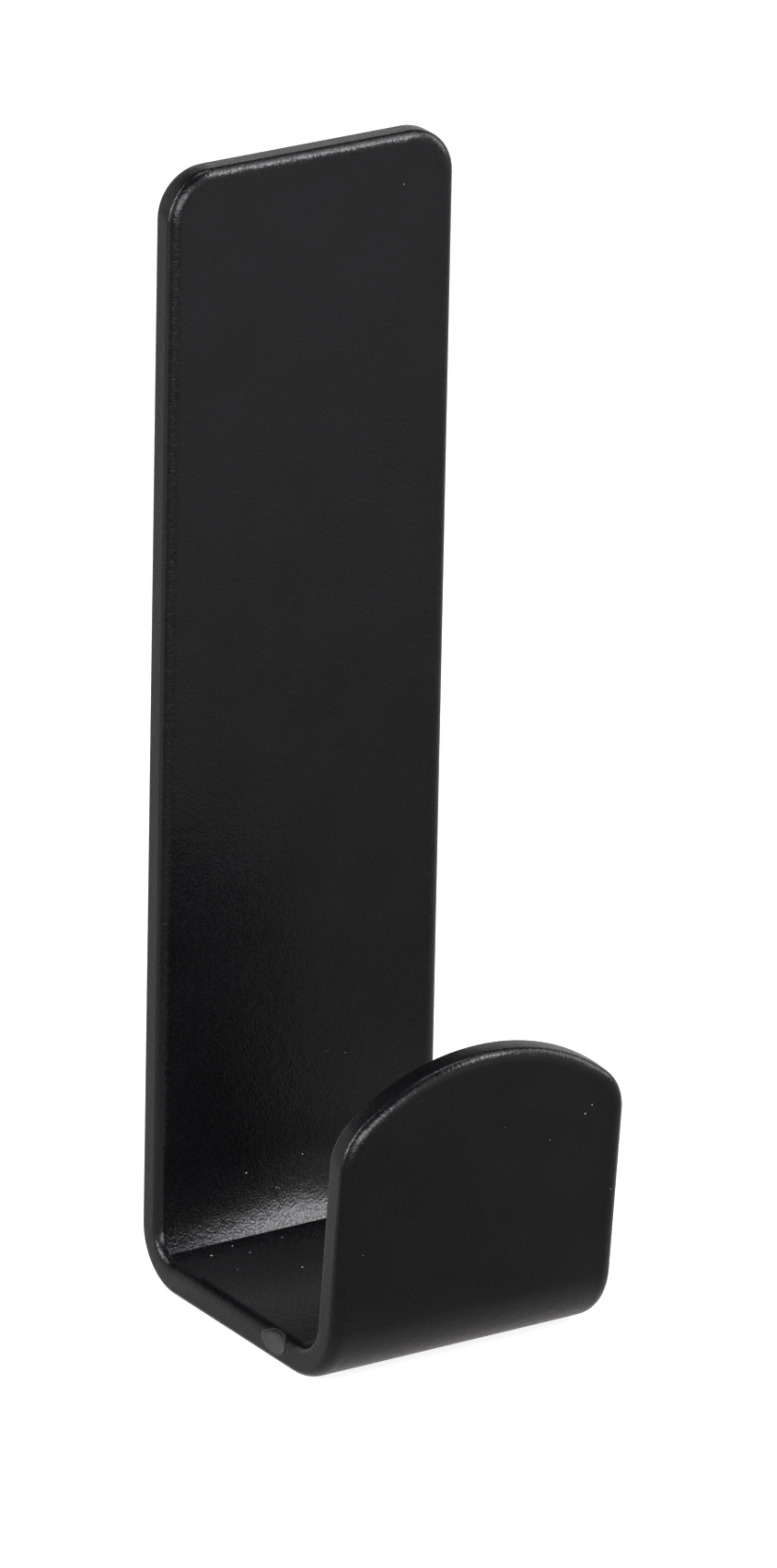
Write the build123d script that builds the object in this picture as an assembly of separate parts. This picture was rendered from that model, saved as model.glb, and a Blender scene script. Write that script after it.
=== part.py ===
from build123d import *

import os
from math import sqrt

# An adhesive hook: one strip of sheet steel folded into a J, and the foam pad that sticks it to a wall.
# Millimetres and degrees. The origin is the centre of the pad's free face, on the wall.
# +Y points into the wall, +Z up along the plate, and the hook stands out towards -Y.

# Driving sizes of the folded strip
strip_width = 20.0
sheet_thickness = 2.0
edge_radius = 0.7
plate_height = 70.9
plate_corner_radius = 3.0
back_bend_inner_radius = 1.8
floor_length = 13.4
front_bend_inner_radius = 2.5
flap_lean = 4.9
flap_length = 16.6
flap_arch_radius = 13.7
flap_corner_radius = 3.6

# Driving sizes of the foam pad
pad_thickness = 1.0
pad_length = 58.0
pad_side_margin = 1.5
pad_top_margin = 2.0
pad_corner_radius = 2.0

# A fillet on each side of the sheet leaves this much of the thickness flat at least
least_flat_edge = 0.2 * sheet_thickness

# Places that follow from the sizes, in the side view's Y and Z
quarter_turn = 90.0
plate_back = -pad_thickness
plate_top = pad_length / 2 + pad_top_margin
underside = plate_top - plate_height
back_bend_outer_radius = back_bend_inner_radius + sheet_thickness
front_bend_outer_radius = front_bend_inner_radius + sheet_thickness
back_bend_centre = (plate_back - back_bend_outer_radius, underside + back_bend_outer_radius)
front_bend_centre = (back_bend_centre[0] - floor_length, underside + front_bend_outer_radius)


def strip_line(depth):
    """Side view from the plate's top to the flap's foot, at a depth below the strip's outer face."""
    plate_y = plate_back - depth
    plate = Line((plate_y, plate_top), (plate_y, back_bend_centre[1]))
    back_bend = CenterArc(back_bend_centre, back_bend_outer_radius - depth, 0, -quarter_turn)
    floor = Line(back_bend @ 1, (front_bend_centre[0], underside + depth))
    front_bend = CenterArc(
        front_bend_centre,
        front_bend_outer_radius - depth,
        -quarter_turn,
        flap_lean - quarter_turn,
    )
    return Wire([plate, back_bend, floor, front_bend])


def make_folded_run():
    """Plate, back bend, floor and front bend across the strip's width, with the plate's top corners round."""
    outer = strip_line(0)
    inner = strip_line(sheet_thickness)
    ends = [Line(outer @ 0, inner @ 0), Line(outer @ 1, inner @ 1)]
    side_view = make_face(outer.edges() + inner.edges() + ends)
    run = extrude(Plane.YZ * side_view, strip_width / 2, both=True)
    top_corners = run.edges().filter_by(Axis.Y).group_by(Axis.Z)[-1]
    return fillet(top_corners, plate_corner_radius)


def make_flap():
    """The flap, which stands on the front bend, leans outwards and ends in an arch with round corners."""
    half_width = strip_width / 2
    arch_centre = flap_length - flap_arch_radius
    shoulder = arch_centre + sqrt(flap_arch_radius**2 - half_width**2)
    corners = [(half_width, shoulder), (half_width, 0), (-half_width, 0), (-half_width, shoulder)]
    arch = ThreePointArc(corners[-1], (0, flap_length), corners[0])
    outline = make_face([Polyline(*corners), arch])
    outline = fillet(outline.vertices().group_by(Axis.Y)[-1], flap_corner_radius)
    foot = strip_line(0) @ 1
    outwards = Vector(0, -1, 0).rotate(Axis.X, flap_lean)
    outer_face = Plane(origin=(0, foot.X, foot.Y), x_dir=(1, 0, 0), z_dir=outwards)
    return extrude(outer_face * outline, -sheet_thickness)


def make_hook_body():
    """The whole folded strip, with the edges of both its faces rounded all the way round."""
    strip = make_folded_run() + make_flap()
    across = strip.edges().filter_by(Axis.X)
    bend_lines = across.filter_by(lambda edge: edge.length > strip_width - edge_radius)
    through_sheet = strip.edges().filter_by(lambda edge: edge.length < sheet_thickness + edge_radius)
    through_sheet = through_sheet.filter_by(GeomType.LINE)
    rim = strip.edges() - bend_lines - through_sheet
    return fillet(rim, min(edge_radius, (sheet_thickness - least_flat_edge) / 2))


def make_adhesive_pad():
    """The foam pad between the wall and the plate, inset from the plate's sides and top."""
    pad_width = strip_width - 2 * pad_side_margin
    outline = RectangleRounded(pad_width, pad_length, pad_corner_radius)
    return extrude(Plane.XZ * outline, pad_thickness)


os.makedirs("parts", exist_ok=True)
export_step(make_hook_body(), "parts/hook_body.step")
export_step(make_adhesive_pad(), "parts/adhesive_pad.step")
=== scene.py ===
import random
from math import atan2, cos, pi, radians, sin, sqrt

import bmesh
import bpy
from bpy.props import FloatProperty, FloatVectorProperty, IntProperty, PointerProperty
from mathutils import Matrix, Vector
from mathutils.bvhtree import BVHTree


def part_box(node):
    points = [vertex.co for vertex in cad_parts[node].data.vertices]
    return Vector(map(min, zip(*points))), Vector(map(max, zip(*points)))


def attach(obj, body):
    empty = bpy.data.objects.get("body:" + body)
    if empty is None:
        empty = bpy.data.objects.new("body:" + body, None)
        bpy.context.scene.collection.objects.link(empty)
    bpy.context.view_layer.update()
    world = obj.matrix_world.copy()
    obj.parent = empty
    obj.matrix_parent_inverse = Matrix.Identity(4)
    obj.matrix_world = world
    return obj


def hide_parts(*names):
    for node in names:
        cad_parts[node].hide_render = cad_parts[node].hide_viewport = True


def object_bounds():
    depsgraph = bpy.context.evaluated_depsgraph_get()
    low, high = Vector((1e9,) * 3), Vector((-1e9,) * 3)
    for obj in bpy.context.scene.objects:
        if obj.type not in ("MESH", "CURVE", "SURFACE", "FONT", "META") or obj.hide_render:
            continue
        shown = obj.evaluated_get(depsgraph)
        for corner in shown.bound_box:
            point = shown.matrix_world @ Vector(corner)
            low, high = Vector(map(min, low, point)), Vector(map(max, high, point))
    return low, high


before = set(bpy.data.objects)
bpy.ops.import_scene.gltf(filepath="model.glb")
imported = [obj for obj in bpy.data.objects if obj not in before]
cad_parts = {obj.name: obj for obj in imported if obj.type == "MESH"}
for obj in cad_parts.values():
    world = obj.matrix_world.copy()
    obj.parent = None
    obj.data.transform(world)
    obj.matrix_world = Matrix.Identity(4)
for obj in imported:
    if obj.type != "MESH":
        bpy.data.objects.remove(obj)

bl_info = {
    "name": "Adhesive hook",
    "version": (1, 0, 0),
    "blender": (4, 5, 0),
    "location": "3D View > Sidebar > Hook",
    "description": "Builds a powder coated J hook, its foam pad and the studio it stands in",
    "category": "Object",
}

MM = 0.001
MERGE_DISTANCE = 0.001 * MM
CAD_LOW, CAD_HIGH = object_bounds()
STRIP_LOW, STRIP_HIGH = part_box("hook_body")
PAD_LOW, PAD_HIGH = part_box("adhesive_pad")

# The lamps on a ball round the hook: azimuth from the front towards the right, elevation, width and height in
# degrees, then the radiance and the colour
LAMP_DISTANCE = 550 * MM
LAMP_AIM = (0, -10 * MM, -10 * MM)
DAYLIGHT = (0.9, 0.95, 1.0)
LAMPBULB = (0.97, 0.96, 1.0)
LAMPS = (
    ("right_softbox_low", 37, 35, 14, 13, 25, LAMPBULB),
    ("right_softbox_high", 48, 47, 17, 16, 8, LAMPBULB),
    ("right_softbox_top", 72, 56, 20, 12, 3, LAMPBULB),
    ("right_card", 74, 20, 16, 40, 6, LAMPBULB),
    ("ceiling_lamp", 90, 80, 22, 22, 5, LAMPBULB),
    ("front_fill", -15, 8, 30, 30, 11, LAMPBULB),
    ("left_window", -84, 22, 14, 44, 18, DAYLIGHT),
    ("left_window_top", -101, 52, 9, 9, 22, DAYLIGHT),
)

# The floor. The camera sees it white, and the gloss sees it dimmer or brighter from place to place. These are
# painted
# reflections: painted shade before the hook, a painted glow to its left and a painted warm tint under it.
# Each ramp goes from its third value to its fourth between two depths, azimuths or distances.
FLOOR_HALF_SIZE = 6.0
FLOOR_GLOW = 0.8
FLOOR_PAPER = (0.45, 0.45, 0.45)
# The paper as the gloss sees it, darker: painted shade in the floor's reflections
FLOOR_PAPER_PAINTED_DARKER_IN_GLOSS = (0.18, 0.175, 0.17)
# Tints of the painted reflections, cool, and warm under the hook
COOL_PAINTED_REFLECTION = (0.98, 0.97, 1.05)
WARM_PAINTED_REFLECTION = (1.0, 0.9, 0.82)
# Painted reflection level, paler under and behind the hook
PAINTED_REFLECTION_BENEATH_THE_HOOK = (-32 * MM, -22 * MM, 0.0, 0.65)
# Painted shade: the floor's reflections dim before the hook, darkest close to it and towards its front left
PAINTED_SHADE_BEFORE_THE_HOOK = (-190 * MM, -45 * MM, 0.7, 0.18)
PAINTED_SHADE_BY_AZIMUTH = (radians(2), radians(26), 0.2, 1.0)
# Painted light: the floor's reflections bright to the left of the hook
PAINTED_LIGHT_LEFT_OF_THE_HOOK = (radians(-55), radians(-72), 0.0, 0.78)
# Painted glow: a band of painted window light in the floor's reflections, to the left and further off
PAINTED_WINDOW_GLOW_NEAR_EDGE = (radians(-60), radians(-72), 0.0, 1.0)
PAINTED_WINDOW_GLOW_FAR_EDGE = (radians(-102), radians(-90), 0.0, 1.25)
PAINTED_WINDOW_GLOW_BY_DISTANCE = (40 * MM, 100 * MM, 0.1, 1.0)

# The world's walls, from the height where they start to end, and its levels of light
WALL_TOP = (0.45, 0.65, 1.0, 0.0)
WALL_LIGHT = 0.4
WALL_SEEN = 0.9
CEILING_LIGHT = 0.08

# The camera, whose sensor's long side is the picture's height
CAMERA_AZIMUTH = -33.197
CAMERA_ELEVATION = 21.334
CAMERA_ROLL = radians(-1.150)
CAMERA_AIM = Vector((10.762, 4.188, -13.700)) * MM
CAMERA_DISTANCE = 914.75 * MM
CAMERA_LENS = 344.674
CAMERA_SENSOR = 36.0

# The photograph's frame, in pixels
PHOTO_WIDTH = 844
PHOTO_HEIGHT = 1704

# What lies on the coat where the photograph shows it, in its pixels. A speck's third number is its width over
# the middling one's. The seed turns and stretches the specks.
DUST_SEED = 7
SPECK_STRETCH = (0.8, 1.3)
FIBRE_TURN = radians(130)
FIBRE_STEPS = 12
FIBRE_PIXEL = (301, 1293)
SPECK_PIXELS = (
    (267.4, 1274.7, 1.2),
    (328.5, 1254, 0.9),
    (209.6, 1350.3, 0.7),
    (229.7, 1364.4, 1.5),
    (271.5, 1361.2, 1.0),
    (252.4, 1353.7, 0.9),
    (257.9, 1379.3, 0.7),
    (328.3, 1377.2, 1.3),
    (306.8, 1344.5, 0.6),
    (635.6, 1210.3, 1.0),
    (643, 1200.6, 0.8),
    (663.4, 1292.4, 0.7),
    (375.4, 1144, 0.5),
    (356, 1142, 0.4),
    (548.6, 1225, 0.4),
    (597.3, 1239, 0.45),
    (394.3, 1364.3, 0.5),
    (438.9, 200, 0.5),
)


# Sizes and finishes that a user may change

def length_property(name, description, metres):
    """A length of the object, kept in metres."""
    return FloatProperty(
        name=name,
        description=description,
        default=metres,
        min=0.0,
        precision=5,
        unit="LENGTH",
        subtype="DISTANCE",
    )


def angle_property(name, description, degrees):
    """An angle, shown in degrees."""
    return FloatProperty(
        name=name, description=description, default=radians(degrees), unit="ROTATION", subtype="ANGLE"
    )


def colour_property(name, description, rgb):
    """A linear colour."""
    return FloatVectorProperty(
        name=name, description=description, default=rgb, size=3, min=0.0, max=1.0, subtype="COLOR"
    )


def share_property(name, description, value):
    """A plain number with no unit."""
    return FloatProperty(name=name, description=description, default=value, min=0.0)


class StripSizes(bpy.types.PropertyGroup):
    """Sizes of the folded steel strip."""

    sheet_thickness: length_property("Sheet thickness", "Steel and powder coat together", 2.0 * MM)
    edge_width: length_property("Edge width", "The rim's rounding over the sheet's faces", 0.9 * MM)
    edge_depth: length_property("Edge depth", "The rim's rounding into the thickness", 0.56 * MM)
    plate_corner_radius: length_property("Plate corner radius", "Top corners of the plate", 3.0 * MM)
    back_bend_inner_radius: length_property("Back bend radius", "Inside of the bend at the wall", 1.8 * MM)
    front_bend_inner_radius: length_property("Front bend radius", "Inside of the flap's bend", 2.5 * MM)
    floor_length: length_property("Floor length", "Flat floor between the two bends", 13.4 * MM)
    flap_lean: angle_property("Flap lean", "How far the flap leans away from the wall", 4.9)
    flap_length: length_property("Flap length", "From the front bend to the arch's top", 16.6 * MM)
    flap_arch_radius: length_property("Flap arch radius", "Arch across the top of the flap", 13.7 * MM)
    flap_corner_radius: length_property("Flap corner radius", "Corners at the ends of the arch", 3.6 * MM)
    bend_steps: IntProperty(name="Bend steps", description="Facets round each bend", default=24, min=4)
    edge_steps: IntProperty(name="Edge steps", description="Facets round each edge", default=10, min=2)


class CoatFinish(bpy.types.PropertyGroup):
    """The black powder coat."""

    colour: colour_property("Colour", "Colour of the coat in even light", (0.0026, 0.0025, 0.0029))
    roughness: share_property("Roughness", "0 is a mirror and 1 is chalk", 0.25)
    specular: share_property("Specular level", "Strength of the coat's gloss, 0.5 for a clear varnish", 0.25)
    grain_size: length_property("Grain size", "Width of the finest bumps", 0.16 * MM)
    grain_depth: length_property("Grain depth", "Height of the finest bumps", 0.018 * MM)
    grain_gloss: share_property("Grain gloss", "How much the finest bumps change the roughness", 0.07)
    peel_size: length_property("Peel size", "Width of the orange peel's bumps", 0.8 * MM)
    peel_depth: length_property("Peel depth", "Height of the orange peel's bumps", 0.02 * MM)
    patch_size: length_property("Patch size", "Width of the lighter and darker patches", 4.0 * MM)
    turn_radius: length_property("Turn radius", "How softly the coat turns inside the back bend", 11.0 * MM)
    turn_rise: length_property("Turn rise", "Height over the floor where it starts", 7.1 * MM)
    turn_narrowing: share_property("Turn narrowing", "How much lower the turn starts towards the sides", 0.12)
    turn_crease: length_property("Turn crease", "Height over the floor where it ends", 0.34 * MM)
    turn_margin: length_property("Turn margin", "Where it ends before the strip's sides", 0.35 * MM)
    turn_fade: length_property("Turn fade", "How gently it ends there", 0.35 * MM)


class PadSizes(bpy.types.PropertyGroup):
    """The foam pad behind the plate."""

    corner_radius: length_property("Corner radius", "Rounding of the pad's four corners", 2.0 * MM)
    edge_waist: length_property("Edge waist", "How far the cut foam draws in", 0.09 * MM)
    colour: colour_property("Colour", "Colour of the foam in even light", (0.12, 0.12, 0.125))
    cell_size: length_property("Cell size", "Width of the foam's cells along its cut edge", 0.22 * MM)
    cell_depth: length_property("Cell depth", "Depth of the foam's cells along its cut edge", 0.06 * MM)
    film_roughness: share_property("Film roughness", "Sheen of the tacky film on the pad's faces", 0.42)
    edge_layers: IntProperty(name="Edge layers", description="Rings through the foam", default=8, min=2)


class MarkSizes(bpy.types.PropertyGroup):
    """The flat blister that the spray hook left in the coat, on the strip's left edge."""

    back_from_front: length_property("Back from the front", "Its middle from the strip's front", 7.85 * MM)
    up_from_underside: length_property("Up from the underside", "Its middle over the underside", 1.4 * MM)
    length: length_property("Length", "The blister along the strip's edge", 2.6 * MM)
    width: length_property("Width", "The blister across the strip's edge", 1.55 * MM)
    rim_height: length_property("Rim height", "How far its rim stands off the coat", 0.05 * MM)
    colour: colour_property("Colour", "Colour in even light", (0.026, 0.026, 0.028))


class DustSizes(bpy.types.PropertyGroup):
    """The specks and the fibre that lie on the coat."""

    speck_width: length_property("Speck width", "Width of a middling speck", 0.1 * MM)
    speck_flatness: share_property("Speck flatness", "Height of a speck over its width", 0.5)
    fibre_length: length_property("Fibre length", "The fibre from end to end", 0.32 * MM)
    fibre_width: length_property("Fibre width", "Thickness of the fibre", 0.025 * MM)
    colour: colour_property("Colour", "Colour of the dust in even light", (0.3, 0.3, 0.32))


class HookSettings(bpy.types.PropertyGroup):
    """Everything that the panel shows."""

    strip: PointerProperty(type=StripSizes)
    coat: PointerProperty(type=CoatFinish)
    pad: PointerProperty(type=PadSizes)
    mark: PointerProperty(type=MarkSizes)
    dust: PointerProperty(type=DustSizes)


# Small helpers for meshes and materials

def finish_mesh(bm, name):
    """Turns a bmesh into a smooth object at the origin, with doubles merged and faces pointing outwards."""
    bmesh.ops.remove_doubles(bm, verts=bm.verts, dist=MERGE_DISTANCE)
    bmesh.ops.recalc_face_normals(bm, faces=bm.faces)
    for face in bm.faces:
        face.smooth = True
    mesh = bpy.data.meshes.new(name)
    bm.to_mesh(mesh)
    bm.free()
    piece = bpy.data.objects.new(name, mesh)
    bpy.context.scene.collection.objects.link(piece)
    return piece


def even_shading(piece):
    """Keeps the flats flat and the rounded edges smooth, by weighting the normals with the faces' areas."""
    modifier = piece.modifiers.new("even_shading", "WEIGHTED_NORMAL")
    modifier.mode = "FACE_AREA"
    modifier.weight = 100
    modifier.keep_sharp = False


def new_material(name):
    """An empty node material with its Principled shader."""
    material = bpy.data.materials.new(name)
    material.use_nodes = True
    nodes = material.node_tree.nodes
    return material, nodes, material.node_tree.links, nodes["Principled BSDF"]


# The folded strip

def only(kind, geometry):
    """The first item of one kind."""
    return next(item for item in geometry if isinstance(item, kind))


def extruded_edge(bm, edge, offset):
    """Pulls a face out of an edge and gives the edge at its far side."""
    made = bmesh.ops.extrude_edge_only(bm, edges=[edge])["geom"]
    verts = [item for item in made if isinstance(item, bmesh.types.BMVert)]
    bmesh.ops.translate(bm, verts=verts, vec=offset)
    return only(bmesh.types.BMEdge, made)


def spun(bm, geometry, centre, axis, angle, steps):
    """Sweeps vertices or an edge round an axis and gives what stands at its end."""
    made = bmesh.ops.spin(
        bm,
        geom=geometry,
        cent=centre,
        axis=axis,
        dvec=(0, 0, 0),
        angle=angle,
        steps=steps,
        use_duplicate=False,
    )
    return made["geom_last"]


def add_flap_face(bm, sizes, half_width, foot, steps):
    """The flap's outer face, drawn flat with its round corners and arch, and then leant outwards."""
    arch_centre = sizes.flap_length - sizes.flap_arch_radius
    corner_x = half_width - sizes.flap_corner_radius
    corner_z = arch_centre + sqrt((sizes.flap_arch_radius - sizes.flap_corner_radius) ** 2 - corner_x**2)
    corner_angle = atan2(corner_z - arch_centre, corner_x)
    across = Vector((0, 1, 0))
    first = bm.verts.new((-half_width, 0, 0))
    shoulder = bm.verts.new((-half_width, 0, corner_z))
    bm.edges.new((first, shoulder))
    end = shoulder
    for centre, angle, count in (
        (Vector((-corner_x, 0, corner_z)), corner_angle, steps // 2),
        (Vector((0, 0, arch_centre)), pi - 2 * corner_angle, steps * 2),
        (Vector((corner_x, 0, corner_z)), corner_angle, steps // 2),
    ):
        end = only(bmesh.types.BMVert, spun(bm, [end], centre, across, angle, count))
    last = bm.verts.new((half_width, 0, 0))
    bm.edges.new((end, last))
    bm.edges.new((last, first))
    loose = [edge for edge in bm.edges if not edge.link_faces]
    bmesh.ops.contextual_create(bm, geom=loose)
    verts = list({vert for edge in loose for vert in edge.verts})
    bmesh.ops.rotate(bm, verts=verts, cent=(0, 0, 0), matrix=Matrix.Rotation(sizes.flap_lean, 3, "X"))
    bmesh.ops.translate(bm, verts=verts, vec=foot)


def folded_face(bm, sizes):
    """The strip's outer face as a ribbon: plate, back bend, floor, front bend and flap."""
    half_width = STRIP_HIGH.x
    back_radius = sizes.back_bend_inner_radius + sizes.sheet_thickness
    front_radius = sizes.front_bend_inner_radius + sizes.sheet_thickness
    plate_y, underside = STRIP_HIGH.y, STRIP_LOW.z
    back_centre = Vector((0, plate_y - back_radius, underside + back_radius))
    front_centre = Vector((0, back_centre.y - sizes.floor_length, underside + front_radius))
    quarter = pi / 2
    across = Vector((1, 0, 0))
    left = bm.verts.new((-half_width, plate_y, back_centre.z))
    right = bm.verts.new((half_width, plate_y, back_centre.z))
    foot = bm.edges.new((left, right))
    top = extruded_edge(bm, foot, (0, 0, STRIP_HIGH.z - back_centre.z))
    bmesh.ops.bevel(
        bm,
        geom=list(top.verts),
        offset=sizes.plate_corner_radius,
        segments=sizes.bend_steps // 2,
        profile=0.5,
        affect="VERTICES",
        material=-1,
    )
    foot = bm.edges.get((left, right))
    turned = spun(bm, [foot, left, right], back_centre, across, -quarter, sizes.bend_steps)
    bent = only(bmesh.types.BMEdge, turned)
    far = extruded_edge(bm, bent, (0, -sizes.floor_length, 0))
    turn = sizes.flap_lean - quarter
    turned = spun(bm, [far, *far.verts], front_centre, across, turn, sizes.bend_steps)
    risen = only(bmesh.types.BMEdge, turned)
    flap_foot = Vector((0, *risen.verts[0].co.yz))
    add_flap_face(bm, sizes, half_width, flap_foot, sizes.bend_steps)
    bmesh.ops.remove_doubles(bm, verts=bm.verts, dist=MERGE_DISTANCE)
    bmesh.ops.recalc_face_normals(bm, faces=bm.faces)


def middle_of_sheet(sizes, point):
    """Which way the sheet's outer face lies from its middle at a point, and how far out the point is."""
    half = sizes.sheet_thickness / 2
    back_radius = sizes.back_bend_inner_radius + half
    front_radius = sizes.front_bend_inner_radius + half
    back_centre = Vector((0, STRIP_HIGH.y - half - back_radius, STRIP_LOW.z + half + back_radius))
    front_centre = Vector((0, back_centre.y - sizes.floor_length, STRIP_LOW.z + half + front_radius))
    flap_out = Vector((0, -cos(sizes.flap_lean), -sin(sizes.flap_lean)))
    flap_up = Vector((0, -sin(sizes.flap_lean), cos(sizes.flap_lean)))
    from_back = Vector((0, point.y, point.z)) - back_centre
    from_front = Vector((0, point.y, point.z)) - front_centre
    in_front = point.y < (back_centre.y + front_centre.y) / 2
    if in_front and from_front.dot(flap_up) > 0:
        return flap_out, from_front.dot(flap_out) - front_radius
    if in_front and from_front.y < 0:
        return from_front.normalized(), from_front.length - front_radius
    if not in_front and from_back.z > 0:
        return Vector((0, 1, 0)), from_back.y - back_radius
    if not in_front and from_back.y > 0:
        return from_back.normalized(), from_back.length - back_radius
    return Vector((0, 0, -1)), STRIP_LOW.z + half - point.z


def flatten_edges(bm, sizes):
    """Presses the round rim into an oval, which reaches less into the sheet's thickness."""
    half = sizes.sheet_thickness / 2
    share = sizes.edge_depth / sizes.edge_width
    for vert in bm.verts:
        outwards, depth = middle_of_sheet(sizes, vert.co)
        pressed = half - (half - abs(depth)) * share
        vert.co += outwards * (pressed - abs(depth)) * (1 if depth > 0 else -1)


class HOOK_OT_fold_strip(bpy.types.Operator):
    """Fold the steel strip and round its edges"""

    bl_idname = "hook.fold_strip"
    bl_label = "Fold the strip"

    def execute(self, context):
        sizes = context.scene.hook.strip
        bm = bmesh.new()
        folded_face(bm, sizes)
        bmesh.ops.solidify(bm, geom=bm.faces[:], thickness=sizes.sheet_thickness)
        square = radians(60)
        rim = [edge for edge in bm.edges if len(edge.link_faces) == 2 and edge.calc_face_angle() > square]
        bmesh.ops.bevel(
            bm,
            geom=rim,
            offset=sizes.edge_width,
            offset_type="OFFSET",
            segments=sizes.edge_steps,
            profile=0.5,
            affect="EDGES",
            clamp_overlap=False,
            material=-1,
        )
        flatten_edges(bm, sizes)
        piece = finish_mesh(bm, "folded_strip")
        even_shading(piece)
        piece.data.materials.append(powder_coat())
        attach(piece, "root")
        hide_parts("hook_body")
        return {"FINISHED"}


# Finishes

def add_node(tree, kind, inputs=None, **options):
    """A node with its options set, and its sockets set to values or linked to other sockets."""
    node = tree.nodes.new(kind)
    for name, value in options.items():
        setattr(node, name, value)
    for name, value in (inputs or {}).items():
        if isinstance(value, bpy.types.NodeSocket):
            tree.links.new(value, node.inputs[name])
        else:
            node.inputs[name].default_value = value
    return node


def math_node(tree, operation, first, second=0.5):
    """One sum of two numbers or sockets."""
    return add_node(tree, "ShaderNodeMath", {0: first, 1: second}, operation=operation).outputs[0]


def spread(tree, value, low, high):
    """A grain value, which seldom leaves 0.3 to 0.7, spread from low to high."""
    return add_node(
        tree,
        "ShaderNodeMapRange",
        {"Value": value, "From Min": 0.3, "From Max": 0.7, "To Min": low, "To Max": high},
    ).outputs[0]


def scaled_colour(tree, colour, value, low, high):
    """A colour made darker and lighter by a grain value."""
    share = spread(tree, value, low, high)
    scaled = add_node(tree, "ShaderNodeVectorMath", {0: tuple(colour), "Scale": share}, operation="SCALE")
    return scaled.outputs[0]


def between(tree, share, first, second):
    """The first value where the share is 0 and the second where it is 1."""
    mix = add_node(tree, "ShaderNodeMix", {"Factor": share, "A": first, "B": second}, data_type="FLOAT")
    return mix.outputs["Result"]


def between_vectors(tree, share, first, second):
    """The same for vectors and colours, whose sockets on the node come after those for numbers."""
    return add_node(tree, "ShaderNodeMix", {0: share, 4: first, 5: second}, data_type="VECTOR").outputs[1]


def new_group(name, inputs, outputs):
    """A shader node group with named sockets, and its input and output nodes."""
    tree = bpy.data.node_groups.new(name, "ShaderNodeTree")
    for label, kind, value in inputs:
        socket = tree.interface.new_socket(label, in_out="INPUT", socket_type=kind)
        if value is not None:
            socket.default_value = value
    for label, kind in outputs:
        tree.interface.new_socket(label, in_out="OUTPUT", socket_type=kind)
    return tree, tree.nodes.new("NodeGroupInput"), tree.nodes.new("NodeGroupOutput")


def placed_group(tree, group, values):
    """A node group inside a material, on the piece's own coordinates, with its inputs set."""
    place = tree.nodes.new("ShaderNodeTexCoord")
    node = tree.nodes.new("ShaderNodeGroup")
    node.node_tree = group
    tree.links.new(place.outputs["Object"], node.inputs["Vector"])
    for name, value in values.items():
        node.inputs[name].default_value = value
    return node.outputs


def surface_grain():
    """Grain, broader peel and patches of a sprayed or foamed surface, each a value round 0.5 at its size."""
    if "surface_grain" in bpy.data.node_groups:
        return bpy.data.node_groups["surface_grain"]
    sizes = (("Grain", 0.2 * MM), ("Peel", 0.8 * MM), ("Patches", 4.0 * MM))
    inputs = [("Vector", "NodeSocketVector", None)]
    inputs += [(label + " Size", "NodeSocketFloat", size) for label, size in sizes]
    outputs = [(label, "NodeSocketFloat") for label, size in sizes]
    tree, source, result = new_group("surface_grain", inputs, outputs)
    for number, (label, size) in enumerate(sizes):
        fineness = math_node(tree, "DIVIDE", 1.0, source.outputs[label + " Size"])
        noise = add_node(
            tree,
            "ShaderNodeTexNoise",
            {
                "Vector": source.outputs["Vector"],
                "Scale": fineness,
                "Detail": 1.0 + number,
                "Roughness": 0.55,
            },
        )
        tree.links.new(noise.outputs["Fac"], result.inputs[label])
    return tree


def place_grain(tree, grain_size, peel_size, patch_size):
    """The grain group inside a material, at its three sizes."""
    sizes = {"Grain Size": grain_size, "Peel Size": peel_size, "Patches Size": patch_size}
    return placed_group(tree, surface_grain(), sizes)


def ramp(tree, value, start, end, low=0.0, high=1.0):
    """A smooth step from low to high as the value goes from start to end."""
    step = add_node(
        tree,
        "ShaderNodeMapRange",
        {"Value": value, "From Min": start, "From Max": end, "To Min": low, "To Max": high},
        interpolation_type="SMOOTHSTEP",
    )
    return step.outputs[0]


def oval_mask():
    """Masks of an oval in the Y and Z plane, which also wraps round an edge: its inside, and its rim."""
    inputs = [
        ("Vector", "NodeSocketVector", None),
        ("Middle", "NodeSocketVector", None),
        ("Length", "NodeSocketFloat", 1.0),
        ("Width", "NodeSocketFloat", 1.0),
    ]
    tree, source, result = new_group(
        "oval_mask", inputs, [("Inside", "NodeSocketFloat"), ("Rim", "NodeSocketFloat")]
    )
    given = source.outputs
    ends = {0: given["Vector"], 1: given["Middle"]}
    away = add_node(tree, "ShaderNodeVectorMath", ends, operation="SUBTRACT")
    half_length = math_node(tree, "MULTIPLY", given["Length"], 0.5)
    half_width = math_node(tree, "MULTIPLY", given["Width"], 0.5)
    reach = add_node(tree, "ShaderNodeCombineXYZ", {"X": half_width, "Y": half_length, "Z": half_width})
    share = add_node(
        tree, "ShaderNodeVectorMath", {0: away.outputs[0], 1: reach.outputs[0]}, operation="DIVIDE"
    ).outputs[0]
    share = add_node(tree, "ShaderNodeVectorMath", {0: share}, operation="LENGTH").outputs["Value"]
    tree.links.new(ramp(tree, share, 0.9, 1.0, 1.0, 0.0), result.inputs["Inside"])
    rim = math_node(tree, "MULTIPLY", ramp(tree, share, 0.72, 0.9), ramp(tree, share, 0.92, 1.08, 1.0, 0.0))
    tree.links.new(rim, result.inputs["Rim"])
    return tree


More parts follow.
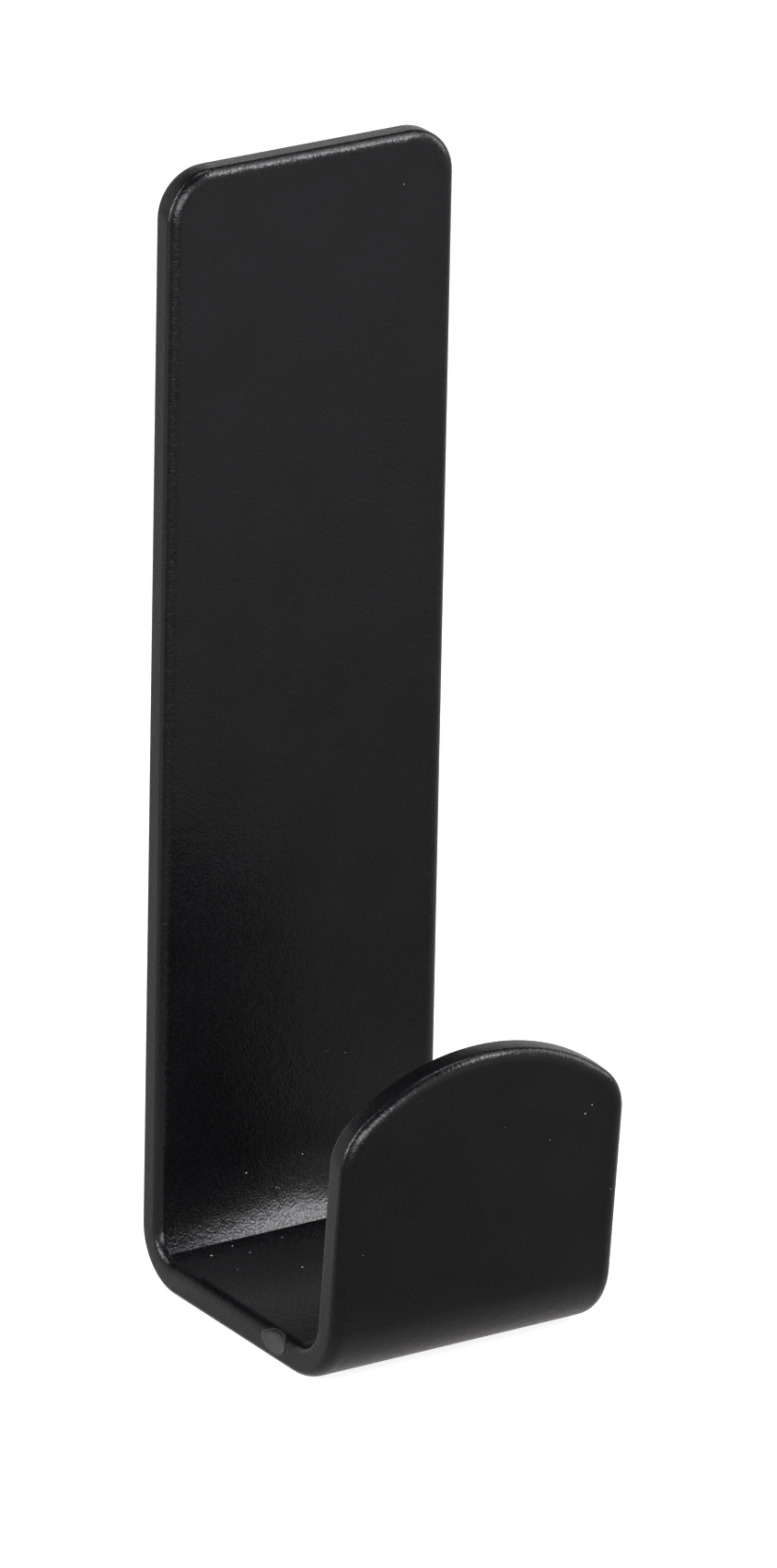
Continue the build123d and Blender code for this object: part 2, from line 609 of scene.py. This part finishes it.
def soft_turn():
    """Where a coat turns softly down a wall to a crease over the floor: its direction and its mask."""
    slack = 0.3 * MM
    forwards = 4.0 * MM
    inputs = [
        ("Vector", "NodeSocketVector", None),
        ("Corner", "NodeSocketVector", None),
        ("Radius", "NodeSocketFloat", 1.0),
        ("Rise", "NodeSocketFloat", 1.0),
        ("Narrowing", "NodeSocketFloat", 0.0),
        ("Crease", "NodeSocketFloat", 1.0),
        ("Reach", "NodeSocketFloat", 1.0),
        ("Fade", "NodeSocketFloat", 1.0),
    ]
    outputs = [("Normal", "NodeSocketVector"), ("Mask", "NodeSocketFloat")]
    tree, source, result = new_group("soft_turn", inputs, outputs)
    given = source.outputs
    ends = {0: given["Vector"], 1: given["Corner"]}
    away = add_node(tree, "ShaderNodeVectorMath", ends, operation="SUBTRACT")
    away = add_node(tree, "ShaderNodeSeparateXYZ", {0: away.outputs[0]})
    up = away.outputs["Z"]
    sideways = math_node(tree, "ABSOLUTE", away.outputs["X"])
    narrowed = math_node(tree, "MULTIPLY", sideways, given["Narrowing"])
    rise = math_node(tree, "SUBTRACT", given["Rise"], narrowed)
    leaning = math_node(tree, "DIVIDE", math_node(tree, "SUBTRACT", rise, up), given["Radius"])
    leaning = math_node(tree, "MINIMUM", math_node(tree, "MAXIMUM", leaning, 0.0), 1.0)
    leaning = between(tree, math_node(tree, "LESS_THAN", up, given["Crease"]), leaning, 1.0)
    upright = math_node(tree, "COSINE", math_node(tree, "ARCSINE", leaning, 0.0), 0.0)
    facing = add_node(
        tree, "ShaderNodeCombineXYZ", {"Y": math_node(tree, "MULTIPLY", upright, -1.0), "Z": leaning}
    )
    tree.links.new(facing.outputs[0], result.inputs["Normal"])
    mask = math_node(tree, "LESS_THAN", up, given["Rise"])
    mask = math_node(tree, "MULTIPLY", mask, math_node(tree, "GREATER_THAN", up, -slack))
    mask = math_node(tree, "MULTIPLY", mask, math_node(tree, "LESS_THAN", away.outputs["Y"], slack))
    near = math_node(tree, "GREATER_THAN", away.outputs["Y"], -forwards)
    mask = math_node(tree, "MULTIPLY", mask, near)
    aside = math_node(tree, "SUBTRACT", given["Reach"], sideways)
    aside = math_node(tree, "DIVIDE", aside, given["Fade"])
    tree.links.new(math_node(tree, "MULTIPLY", mask, ramp(tree, aside, 0.0, 1.0)), result.inputs["Mask"])
    return tree


def place_soft_turn(tree):
    """The coat's soft turn inside the back bend."""
    finish = bpy.context.scene.hook.coat
    thickness = bpy.context.scene.hook.strip.sheet_thickness
    values = {
        "Corner": (0, STRIP_HIGH.y - thickness, STRIP_LOW.z + thickness),
        "Radius": finish.turn_radius,
        "Rise": finish.turn_rise,
        "Narrowing": finish.turn_narrowing,
        "Crease": finish.turn_crease,
        "Reach": STRIP_HIGH.x - finish.turn_margin,
        "Fade": finish.turn_fade,
    }
    return placed_group(tree, soft_turn(), values)


def place_mark(tree):
    """The masks of the blister on the strip's left edge."""
    sizes = bpy.context.scene.hook.mark
    middle = (STRIP_LOW.x, STRIP_LOW.y + sizes.back_from_front, STRIP_LOW.z + sizes.up_from_underside)
    return placed_group(tree, oval_mask(), {"Middle": middle, "Length": sizes.length, "Width": sizes.width})


def powder_coat():
    """Black satin powder coat: fine grain, orange peel, faint patches and the blister on its left edge."""
    finish = bpy.context.scene.hook.coat
    blister = bpy.context.scene.hook.mark
    material, nodes, links, shader = new_material("powder_coat")
    tree = material.node_tree
    grain = place_grain(tree, finish.grain_size, finish.peel_size, finish.patch_size)
    mark = place_mark(tree)
    height = math_node(tree, "MULTIPLY", grain["Grain"], finish.grain_depth)
    for value, depth in ((grain["Peel"], finish.peel_depth), (mark["Rim"], blister.rim_height)):
        height = add_node(
            tree, "ShaderNodeMath", {0: value, 1: depth, 2: height}, operation="MULTIPLY_ADD"
        ).outputs[0]
    turn = place_soft_turn(tree)
    facing = nodes.new("ShaderNodeNewGeometry").outputs["Normal"]
    for share, own_facing in ((turn["Mask"], turn["Normal"]), (mark["Inside"], (-1, 0, 0))):
        turned = add_node(
            tree,
            "ShaderNodeVectorTransform",
            {"Vector": own_facing},
            vector_type="NORMAL",
            convert_from="OBJECT",
            convert_to="WORLD",
        )
        facing = between_vectors(tree, share, facing, turned.outputs[0])
    relief = {"Height": height, "Distance": 1.0, "Strength": 1.0, "Normal": facing}
    bump = add_node(tree, "ShaderNodeBump", relief)
    links.new(bump.outputs["Normal"], shader.inputs["Normal"])
    own_colour = scaled_colour(tree, finish.colour, grain["Patches"], 0.8, 1.25)
    blister_colour = scaled_colour(tree, blister.colour, grain["Peel"], 0.7, 1.4)
    links.new(between_vectors(tree, mark["Inside"], own_colour, blister_colour), shader.inputs["Base Color"])
    sharpest = finish.roughness - finish.grain_gloss
    dullest = finish.roughness + finish.grain_gloss
    links.new(spread(tree, grain["Grain"], sharpest, dullest), shader.inputs["Roughness"])
    shader.inputs["Specular IOR Level"].default_value = finish.specular
    return material


def adhesive_foam():
    """Grey foam: open cells along its cut edge, and a duller tacky film over its two faces."""
    sizes = bpy.context.scene.hook.pad
    material, nodes, links, shader = new_material("adhesive_foam")
    tree = material.node_tree
    clump_size = 4 * sizes.cell_size
    patch_size = 30 * sizes.cell_size
    film_facing = 0.8
    film_depth = 0.1 * sizes.cell_depth
    dullest_film = sizes.film_roughness + 0.15
    cut_roughness = 0.95
    grain = place_grain(tree, sizes.cell_size, clump_size, patch_size)
    geometry = nodes.new("ShaderNodeNewGeometry")
    normal = add_node(tree, "ShaderNodeSeparateXYZ", {"Vector": geometry.outputs["Normal"]})
    facing = math_node(tree, "ABSOLUTE", normal.outputs["Y"])
    film = math_node(tree, "GREATER_THAN", facing, film_facing)
    depth = between(tree, film, sizes.cell_depth, film_depth)
    height = math_node(tree, "MULTIPLY", grain["Grain"], depth)
    bump = add_node(tree, "ShaderNodeBump", {"Height": height, "Distance": 1.0, "Strength": 1.0})
    links.new(bump.outputs["Normal"], shader.inputs["Normal"])
    links.new(scaled_colour(tree, sizes.colour, grain["Patches"], 0.75, 1.3), shader.inputs["Base Color"])
    sheen = spread(tree, grain["Peel"], sizes.film_roughness, dullest_film)
    links.new(between(tree, film, cut_roughness, sheen), shader.inputs["Roughness"])
    return material


def pale_dust():
    """Pale dust, a little lighter and darker from speck to speck."""
    if "pale_dust" in bpy.data.materials:
        return bpy.data.materials["pale_dust"]
    material, nodes, links, shader = new_material("pale_dust")
    tree = material.node_tree
    grain = place_grain(tree, 0.05 * MM, 0.3 * MM, 3 * MM)
    colour = bpy.context.scene.hook.dust.colour
    links.new(scaled_colour(tree, colour, grain["Patches"], 0.5, 1.5), shader.inputs["Base Color"])
    shader.inputs["Roughness"].default_value = 0.9
    return material


# The foam pad

class HOOK_OT_cut_pad(bpy.types.Operator):
    """Cut the foam pad and stick it behind the plate"""

    bl_idname = "hook.cut_pad"
    bl_label = "Cut the foam pad"

    def execute(self, context):
        sizes = context.scene.hook.pad
        bm = bmesh.new()
        bmesh.ops.create_grid(bm, x_segments=1, y_segments=1, size=0.5)
        bmesh.ops.scale(bm, verts=bm.verts, vec=(PAD_HIGH.x - PAD_LOW.x, PAD_HIGH.z - PAD_LOW.z, 1))
        bmesh.ops.rotate(bm, verts=bm.verts, cent=(0, 0, 0), matrix=Matrix.Rotation(pi / 2, 3, "X"))
        centre = (PAD_LOW + PAD_HIGH) / 2
        bmesh.ops.translate(bm, verts=bm.verts, vec=(centre.x, PAD_LOW.y, centre.z))
        bmesh.ops.bevel(
            bm,
            geom=bm.verts[:],
            offset=sizes.corner_radius,
            segments=12,
            profile=0.5,
            affect="VERTICES",
            material=-1,
        )
        layer = (PAD_HIGH.y - PAD_LOW.y) / sizes.edge_layers
        face = bm.faces[:]
        # A copy of the face stays behind and closes the pad against the plate
        bmesh.ops.duplicate(bm, geom=face)
        for _ in range(sizes.edge_layers):
            made = bmesh.ops.extrude_face_region(bm, geom=face)["geom"]
            bmesh.ops.delete(bm, geom=face, context="FACES")
            face = [item for item in made if isinstance(item, bmesh.types.BMFace)]
            bmesh.ops.translate(bm, verts=face[0].verts, vec=(0, layer, 0))
        bmesh.ops.remove_doubles(bm, verts=bm.verts, dist=MERGE_DISTANCE)
        bmesh.ops.recalc_face_normals(bm, faces=bm.faces)
        bm.normal_update()
        draws = []
        for vert in bm.verts:
            across = 2 * (vert.co.y - centre.y) / (PAD_HIGH.y - PAD_LOW.y)
            outwards = Vector((vert.normal.x, 0, vert.normal.z)).normalized()
            draws.append((vert, outwards * sizes.edge_waist * (1 - across**2)))
        for vert, draw in draws:
            vert.co -= draw
        piece = finish_mesh(bm, "foam_pad")
        even_shading(piece)
        piece.data.materials.append(adhesive_foam())
        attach(piece, "root")
        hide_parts("adhesive_pad")
        return {"FINISHED"}


# What lies on the coat, placed where the photograph shows it

def strip_surface():
    """The folded strip as a surface that points can be dropped on."""
    bm = bmesh.new()
    bm.from_mesh(bpy.data.objects["folded_strip"].data)
    surface = BVHTree.FromBMesh(bm)
    bm.free()
    return surface


def seen_on(surface, pixel):
    """The point of the surface that the camera sees at a pixel of the photograph, and how it lies there."""
    camera = bpy.context.scene.camera
    focal = camera.data.lens / camera.data.sensor_width * PHOTO_HEIGHT
    sight = Vector((pixel[0] - PHOTO_WIDTH / 2, PHOTO_HEIGHT / 2 - pixel[1], -focal))
    stand = camera.matrix_world
    place, outwards, _, _ = surface.ray_cast(stand.translation, stand.to_3x3() @ sight)
    return place, outwards, outwards.to_track_quat("Z", "Y").to_matrix().to_4x4()


def lay_specks(surface, sizes):
    """The specks of dust, each a small flattened ball."""
    chance = random.Random(DUST_SEED)
    bm = bmesh.new()
    for x, y, share in SPECK_PIXELS:
        place, _, lie = seen_on(surface, (x, y))
        turn = Matrix.Rotation(chance.uniform(0, pi), 4, "Z")
        stretch = Matrix.Diagonal((chance.uniform(*SPECK_STRETCH), 1, sizes.speck_flatness, 1))
        matrix = Matrix.Translation(place) @ lie @ turn @ stretch
        radius = sizes.speck_width / 2 * share
        bmesh.ops.create_icosphere(bm, subdivisions=2, radius=radius, matrix=matrix)
    specks = finish_mesh(bm, "dust_specks")
    specks.data.materials.append(pale_dust())
    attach(specks, "root")


def lay_fibre(surface, sizes):
    """The curled fibre, a thin round thread bent to an arc."""
    place, outwards, lie = seen_on(surface, FIBRE_PIXEL)
    radius = sizes.fibre_width / 2
    start = Matrix.Translation((sizes.fibre_length / 2, 0, 0)) @ Matrix.Rotation(pi / 2, 4, "X")
    bm = bmesh.new()
    bmesh.ops.create_circle(bm, cap_ends=True, segments=8, radius=radius, matrix=start)
    spun(bm, bm.faces[:], (0, 0, 0), (0, 0, 1), FIBRE_TURN, FIBRE_STEPS)
    matrix = Matrix.Translation(place + outwards * radius) @ lie
    bmesh.ops.transform(bm, verts=bm.verts, matrix=matrix)
    fibre = finish_mesh(bm, "dust_fibre")
    fibre.data.materials.append(pale_dust())
    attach(fibre, "root")


class HOOK_OT_scatter_dust(bpy.types.Operator):
    """Lay the specks and the fibre on the coat"""

    bl_idname = "hook.scatter_dust"
    bl_label = "Scatter the dust"

    def execute(self, context):
        surface = strip_surface()
        lay_specks(surface, context.scene.hook.dust)
        lay_fibre(surface, context.scene.hook.dust)
        return {"FINISHED"}


# The studio

def from_round(azimuth, elevation):
    """The direction of a place round the hook, with its azimuth counted from the front towards the right."""
    azimuth, elevation = radians(azimuth), radians(elevation)
    return Vector((sin(azimuth) * cos(elevation), -cos(azimuth) * cos(elevation), sin(elevation)))


def hang_lamp(name, azimuth, elevation, width, height, radiance, colour):
    """A soft rectangular lamp on the ball round the hook, which the camera doesn't see."""
    data = bpy.data.lights.new(name, "AREA")
    data.shape = "RECTANGLE"
    data.size = radians(width) * LAMP_DISTANCE
    data.size_y = radians(height) * LAMP_DISTANCE
    data.energy = pi * data.size * data.size_y * radiance
    data.color = colour
    lamp = bpy.data.objects.new(name, data)
    outwards = from_round(azimuth, elevation)
    lamp.location = Vector(LAMP_AIM) + outwards * LAMP_DISTANCE
    lamp.rotation_mode = "QUATERNION"
    lamp.rotation_quaternion = (-outwards).to_track_quat("-Z", "Y")
    lamp.visible_camera = False
    bpy.context.scene.collection.objects.link(lamp)


def painted_floor_reflections(tree):
    """The painted reflections of the floor: how bright the gloss sees it at each place, with painted shade
    before the hook and a painted window glow to its left, and how much of it is under or behind the hook.
    """
    spot = tree.nodes.new("ShaderNodeTexCoord").outputs["Object"]
    place = add_node(tree, "ShaderNodeSeparateXYZ", {0: spot})
    beneath = ramp(tree, place.outputs["Y"], *PAINTED_REFLECTION_BENEATH_THE_HOOK)
    forwards = math_node(tree, "MULTIPLY", place.outputs["Y"], -1.0)
    azimuth = math_node(tree, "ARCTAN2", place.outputs["X"], forwards)
    # Painted shade: the reflections dim before the hook, darkest close to it and towards its front left
    before = ramp(tree, place.outputs["Y"], *PAINTED_SHADE_BEFORE_THE_HOOK)
    before = math_node(tree, "MULTIPLY", before, ramp(tree, azimuth, *PAINTED_SHADE_BY_AZIMUTH))
    far = add_node(tree, "ShaderNodeVectorMath", {0: spot}, operation="LENGTH").outputs["Value"]
    # A band of painted window light in the floor's reflections, to the left and further off
    near_edge = ramp(tree, azimuth, *PAINTED_WINDOW_GLOW_NEAR_EDGE)
    painted_window_glow = math_node(tree, "MULTIPLY", near_edge, ramp(tree, azimuth, *PAINTED_WINDOW_GLOW_FAR_EDGE))
    painted_window_glow = math_node(tree, "MULTIPLY", painted_window_glow, ramp(tree, far, *PAINTED_WINDOW_GLOW_BY_DISTANCE))
    # Painted light in the reflections to the left of the hook
    aside = math_node(tree, "MAXIMUM", ramp(tree, azimuth, *PAINTED_LIGHT_LEFT_OF_THE_HOOK), painted_window_glow)
    return math_node(tree, "MAXIMUM", math_node(tree, "MAXIMUM", beneath, before), aside), beneath


def lay_floor():
    """A plain pale floor, which the camera sees white but for the shadow. The gloss sees painted reflections
    on it: painted shade before the hook, paler under and behind it with a painted warm tint, and a painted
    glow to its left, up to white in a band of painted window light."""
    bm = bmesh.new()
    bmesh.ops.create_grid(bm, x_segments=1, y_segments=1, size=FLOOR_HALF_SIZE)
    bmesh.ops.translate(bm, verts=bm.verts, vec=(0, 0, CAD_LOW.z))
    floor = finish_mesh(bm, "floor")
    material, nodes, links, shader = new_material("floor")
    tree = material.node_tree
    shader.inputs["Roughness"].default_value = 0.9
    shader.inputs["Specular IOR Level"].default_value = 0.0
    path = nodes.new("ShaderNodeLightPath")
    sheen, beneath = painted_floor_reflections(tree)
    # What the gloss sees of the floor is painted reflection, brighter and dimmer by place
    glossy = math_node(tree, "MULTIPLY", path.outputs["Is Glossy Ray"], sheen)
    seen = math_node(tree, "MAXIMUM", path.outputs["Is Camera Ray"], path.outputs["Is Transmission Ray"])
    seen = math_node(tree, "MAXIMUM", seen, glossy)
    # A painted warm tint in the reflections under and behind the hook
    tint = between_vectors(tree, beneath, COOL_PAINTED_REFLECTION, WARM_PAINTED_REFLECTION)
    links.new(between_vectors(tree, glossy, (1.0, 1.0, 1.0), tint), shader.inputs["Emission Color"])
    links.new(math_node(tree, "MULTIPLY", seen, FLOOR_GLOW), shader.inputs["Emission Strength"])
    # The paper is darker to the gloss: painted shade in the floor's reflections
    paper = between_vectors(tree, path.outputs["Is Glossy Ray"], FLOOR_PAPER, FLOOR_PAPER_PAINTED_DARKER_IN_GLOSS)
    links.new(paper, shader.inputs["Base Color"])
    floor.data.materials.append(material)


def paint_walls():
    """The world: pale walls, almost white to the camera and the gloss, under a dim ceiling."""
    world = bpy.data.worlds.new("studio")
    world.use_nodes = True
    bpy.context.scene.world = world
    tree = world.node_tree
    place = tree.nodes.new("ShaderNodeTexCoord")
    split = add_node(tree, "ShaderNodeSeparateXYZ", {"Vector": place.outputs["Generated"]})
    wall = ramp(tree, split.outputs["Z"], *WALL_TOP)
    path = tree.nodes.new("ShaderNodeLightPath")
    seen = math_node(tree, "MAXIMUM", path.outputs["Is Camera Ray"], path.outputs["Is Transmission Ray"])
    seen = math_node(tree, "MAXIMUM", seen, path.outputs["Is Glossy Ray"])
    level = between(tree, wall, CEILING_LIGHT, between(tree, seen, WALL_LIGHT, WALL_SEEN))
    background = tree.nodes["Background"]
    background.inputs["Color"].default_value = (1, 1, 1, 1)
    tree.links.new(level, background.inputs["Strength"])


def make_camera():
    """The camera at the photograph's place."""
    back = from_round(CAMERA_AZIMUTH, CAMERA_ELEVATION)
    level = (-back).cross(Vector((0, 0, 1))).normalized()
    down = (-back).cross(level)
    right = cos(CAMERA_ROLL) * level + sin(CAMERA_ROLL) * down
    up = sin(CAMERA_ROLL) * level - cos(CAMERA_ROLL) * down
    data = bpy.data.cameras.new("camera")
    data.sensor_width = CAMERA_SENSOR
    data.lens = CAMERA_LENS
    data.clip_start = 0.05
    camera = bpy.data.objects.new("camera", data)
    turn = Matrix((right, up, back)).transposed().to_4x4()
    camera.matrix_world = Matrix.Translation(CAMERA_AIM + back * CAMERA_DISTANCE) @ turn
    bpy.context.scene.collection.objects.link(camera)
    bpy.context.scene.camera = camera


class HOOK_OT_light_studio(bpy.types.Operator):
    """Lay the floor, hang the lamps and place the camera"""

    bl_idname = "hook.light_studio"
    bl_label = "Light the studio"

    def execute(self, context):
        make_camera()
        lay_floor()
        paint_walls()
        for lamp in LAMPS:
            hang_lamp(*lamp)
        context.scene.view_settings.view_transform = "Standard"
        return {"FINISHED"}


class HOOK_PT_panel(bpy.types.Panel):
    """The sidebar's list of every size and finish, and of the steps that build the hook."""

    bl_label = "Adhesive hook"
    bl_idname = "HOOK_PT_panel"
    bl_space_type = "VIEW_3D"
    bl_region_type = "UI"
    bl_category = "Hook"

    def draw(self, context):
        hook = context.scene.hook
        for group in HookSettings.__annotations__:
            box = self.layout.box()
            box.label(text=group.capitalize())
            values = getattr(hook, group)
            for name in type(values).__annotations__:
                box.prop(values, name)
        for operator in OPERATORS:
            self.layout.operator(operator.bl_idname)


OPERATORS = (
    HOOK_OT_light_studio,
    HOOK_OT_fold_strip,
    HOOK_OT_cut_pad,
    HOOK_OT_scatter_dust,
)
CLASSES = (StripSizes, CoatFinish, PadSizes, MarkSizes, DustSizes, HookSettings, *OPERATORS, HOOK_PT_panel)


def register():
    """Makes the settings, the steps and the panel known."""
    for cls in CLASSES:
        bpy.utils.register_class(cls)
    bpy.types.Scene.hook = PointerProperty(type=HookSettings)


def unregister():
    """Takes them away again."""
    del bpy.types.Scene.hook
    for cls in reversed(CLASSES):
        bpy.utils.unregister_class(cls)


def main():
    """Builds every piece."""
    register()
    bpy.ops.hook.light_studio()
    bpy.ops.hook.fold_strip()
    bpy.ops.hook.cut_pad()
    bpy.ops.hook.scatter_dust()


if __name__ == "__main__":
    main()
